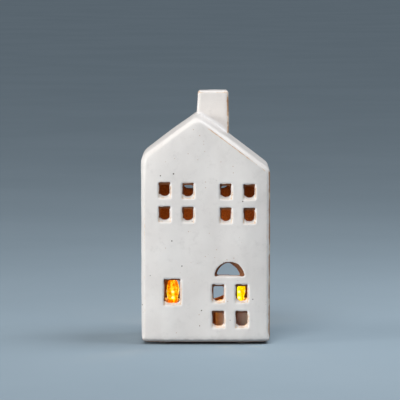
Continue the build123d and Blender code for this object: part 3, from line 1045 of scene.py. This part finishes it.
def plated(name, first, second, stretch):
    """Nickel-plated steel with faint drawn lines and cloudy fingerprints."""
    material, shader, place, clouds, _ = new_material(name, 220, 1800)
    drawn_out = put("ShaderNodeMapping", {"Vector": place, "Scale": stretch})
    lines = noise(drawn_out[0], 900, 3)
    rough = plus(ranged(lines, 0.3, 0.7, 0.16, 0.3), times(clouds, 0.08))
    feed(shader, Base_Color=layered(first, (clouds, second)), Metallic=1.0, Roughness=rough,
         Normal=bumped(lines, 0.01 * mm))
    return material


dressing = {
    "led": lamp,
    "light_base": moulded("base_plastic", (216, 208, 192), (228, 221, 207), 0.02 * mm),
    "battery_cover": moulded("cover_plastic", (210, 201, 184), (224, 216, 201), 0.02 * mm),
    "switch_slider": moulded("switch_plastic", (46, 45, 46), (62, 61, 62), 0.015 * mm),
    "coin_cell": plated("cell_steel", (188, 186, 180), (206, 205, 200), (1.0, 0.06, 1.0)),
    "positive_contact": plated("contact_strip", (182, 178, 168), (204, 201, 192), (0.05, 1.0, 1.0)),
}
dressing["negative_contact"] = dressing["positive_contact"]


def dress(node, material):
    """Give a CAD node's own object its finish."""
    slots = nodes[node].data.materials
    slots.clear()
    slots.append(material)


for side in sides:
    for part_name, material in dressing.items():
        dress(f"{side}_{part_name}", material)
print("dressed:", len(dressing) * len(sides), "CAD nodes")

# %% [markdown]
# Grip ribs under the switch
#
# A thumbnail needs something to push, so the knob under each light carries a few small ribs at an even pitch.
# That is a job for Geometry Nodes: a line of points, with one small bar on each.

# %% Ribs on the switch knobs
rib_count = 5
rib_sides = 10
rib_sizes = {"Pitch": 0.62 * mm, "Length": 2.2 * mm, "Thickness": 0.16 * mm}
rib_kinds = {"Count": WHOLE, "First": PLACE, "Material": FINISH}
rib_rule, given, result = new_rule("grip_ribs", rib_kinds, rib_sizes)
pitch = put("ShaderNodeCombineXYZ", {0: given["Pitch"]})[0]
row = put("GeometryNodeMeshLine",
          {"Count": given["Count"], "Start Location": given["First"], "Offset": pitch})
bar = put("GeometryNodeMeshCylinder",
          {"Vertices": rib_sides, "Side Segments": 1, "Radius": given["Thickness"], "Depth": given["Length"]})
on_row = put("GeometryNodeInstanceOnPoints",
             {"Points": row[0], "Instance": bar["Mesh"], "Rotation": (math.pi / 2, 0.0, 0.0)})
end_rule(result, on_row[0], given["Material"])
for side in sides:
    low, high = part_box(f"{side}_switch_slider")
    middle = (low + high) / 2
    first = (middle.x - rib_sizes["Pitch"] * (rib_count - 1) / 2, middle.y, low.z + 0.04 * mm)
    values = {**rib_sizes, "Count": rib_count, "First": first, "Material": dressing["switch_slider"]}
    ribs = grown(f"{side}_switch_ribs", rib_rule, values)
    finish_mesh(ribs, 40)
    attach(ribs, f"{side}_switch")
    print(ribs.name, len(ribs.data.polygons), "faces")

# %% [markdown]
# Felt feet
#
# Four grey felt pads keep the rough clay off the table. Felt is pressed wool, so its cut side is hairy. The
# pads keep their CAD shape, and Geometry Nodes plant short fibres on their sides, from a fixed seed.

# %% Felt pads
felt, shader, place, clouds, grain = new_material("grey_felt", 300, 3000)
flecks = specks(place, 900, 0.3, 0.3)
wool = layered((88, 86, 84), (clouds, (112, 110, 107)), (flecks, (150, 147, 142)))
feed(shader, Base_Color=wool, Roughness=ranged(grain, 0, 1, 0.88, 1), Sheen_Weight=0.4,
     Normal=bumped(grain, 0.12 * mm))
dress("felt_feet", felt)
print("felt nodes:", len(shader.id_data.nodes))

# %% Fibres on their sides
fibre_seed = 4
most_tilt = (0.6, 0.6, 3.1)
fibre_sizes = {"Density": 9.0e6, "Length": 0.7 * mm, "Thickness": 0.022 * mm}
fibre_kinds = {"Geometry": SHAPE, "Seed": WHOLE, "Material": FINISH}
fibre_rule, given, result = new_rule("felt_fibres", fibre_kinds, fibre_sizes)
facing_up = split(put_in(fibre_rule, "GeometryNodeInputNormal").outputs[0])[2]
upright = sum_of("LESS_THAN", sum_of("ABSOLUTE", facing_up), 0.5)
planted = put("GeometryNodeDistributePointsOnFaces", {
    "Mesh": given["Geometry"], "Selection": upright, "Density": given["Density"], "Seed": given["Seed"]})
fibre = put("GeometryNodeMeshCone", {
    "Vertices": 3, "Side Segments": 1, "Fill Segments": 1,
    "Radius Top": 0.0, "Radius Bottom": given["Thickness"], "Depth": given["Length"]})
tilt_inputs = {0: tuple(-most for most in most_tilt), 1: most_tilt, "Seed": given["Seed"]}
tilt = put("FunctionNodeRandomValue", tilt_inputs, data_type="FLOAT_VECTOR")[0]
tilted = put("FunctionNodeRotateRotation", {0: planted["Rotation"], 1: tilt}, rotation_space="LOCAL")
on_pads = put("GeometryNodeInstanceOnPoints", {
    "Points": planted["Points"], "Instance": fibre["Mesh"], "Rotation": tilted[0]})
end_rule(result, on_pads[0], given["Material"])
values = {**fibre_sizes, "Seed": fibre_seed, "Material": felt}
fuzz = grown("felt_fuzz", fibre_rule, values, merged_copy("felt_feet"))
fuzz_points = read_vectors(fuzz.data, "co")
fuzz_points[:, 2] = fuzz_points[:, 2].clip(0.05 * mm, house_low[2] * mm)
fuzz.data.vertices.foreach_set("co", fuzz_points.astype(np.float32).ravel())
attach(fuzz, "house")
print("felt fibres:", len(fuzz.data.polygons), "faces")

# %% [markdown]
# Floor, light and camera
#
# A plain pale floor. Soft window light comes from high in front, a little from the left, with a broad light
# from the front, a cool one from above on the right and a low even one from the left. A weak sky fills the
# shadows, and an orange glow stands for what the flames throw about inside. The camera stands where the
# photographer stood: far off, a little above, looking slightly down.

# %% Floor
floor_half = 30.0
floor_mesh = bpy.data.meshes.new("floor")
floor_mesh.from_pydata([(-floor_half, -floor_half, 0), (floor_half, -floor_half, 0),
                        (floor_half, floor_half, 0), (-floor_half, floor_half, 0)], [], [(0, 1, 2, 3)])
floor = show("floor", floor_mesh)
floor_paint, shader, _, clouds, _ = new_material("floor_paint", 3, 300)
paint = layered((150, 166, 177), (clouds, (154, 170, 181)))
feed(shader, Base_Color=paint, Roughness=0.9, Specular_IOR_Level=0.0)
floor_mesh.materials.append(floor_paint)
print("floor:", 2 * floor_half, "m wide")

# %% Light
middle_of_house = Vector((0.0, 0.0, 0.1))
softness_name = {"AREA": "size", "SUN": "angle", "POINT": "shadow_soft_size"}
# Kind, place, power, colour and softness.
lights = {
    "window_light": ("AREA", (-0.56, -1.82, 2.14), 28.5, (1.0, 0.98, 0.965), 1.2),
    "room_light": ("AREA", (-1.05, -3.75, 0.55), 35.0, (1.0, 0.985, 0.97), 1.8),
    "top_light": ("AREA", (0.42, -0.03, 0.92), 5.1, (0.93, 0.965, 1.0), 0.5),
    "side_light": ("SUN", (-0.95, -0.29, 0.18), 2.65, (1.0, 0.985, 0.97), math.radians(24)),
    "sky_light": ("SUN", (0.1, -0.05, 1.1), 0.38, (0.9, 0.95, 1.0), math.radians(60)),
    "glow": ("POINT", (0.0, 0.0, 0.066), 0.1, (1.0, 0.5, 0.12), 0.008),
}
for name, (kind, place, power, tint, softness) in lights.items():
    light = bpy.data.lights.new(name, kind)
    light.energy = power
    light.color = tint
    setattr(light, softness_name[kind], softness)
    hung = show(name, light)
    hung.location = place
    hung.visible_camera = False
    hung.rotation_euler = (middle_of_house - hung.location).to_track_quat("-Z", "Y").to_euler()
world = bpy.data.worlds.new("room")
bpy.context.scene.world = world
world.use_nodes = True
room = world.node_tree.nodes["Background"]
room.inputs["Color"].default_value = (0.88, 0.93, 1.0, 1.0)
room.inputs["Strength"].default_value = 0.15
bpy.context.scene.view_settings.view_transform = "Standard"
print("lights:", ", ".join(lights))

# %% Camera
look_down = 4.985
camera_data = bpy.data.cameras.new("camera")
camera_data.sensor_width = 36.0
camera_data.lens = 262.3
camera_data.clip_end = 200.0
camera = show("camera", camera_data)
camera.location = (-0.0043, -2.26413, 0.30618)
camera.rotation_euler = (math.radians(90 - look_down), 0.0, 0.0)
bpy.context.scene.camera = camera
print("camera looks down by", look_down, "degrees")
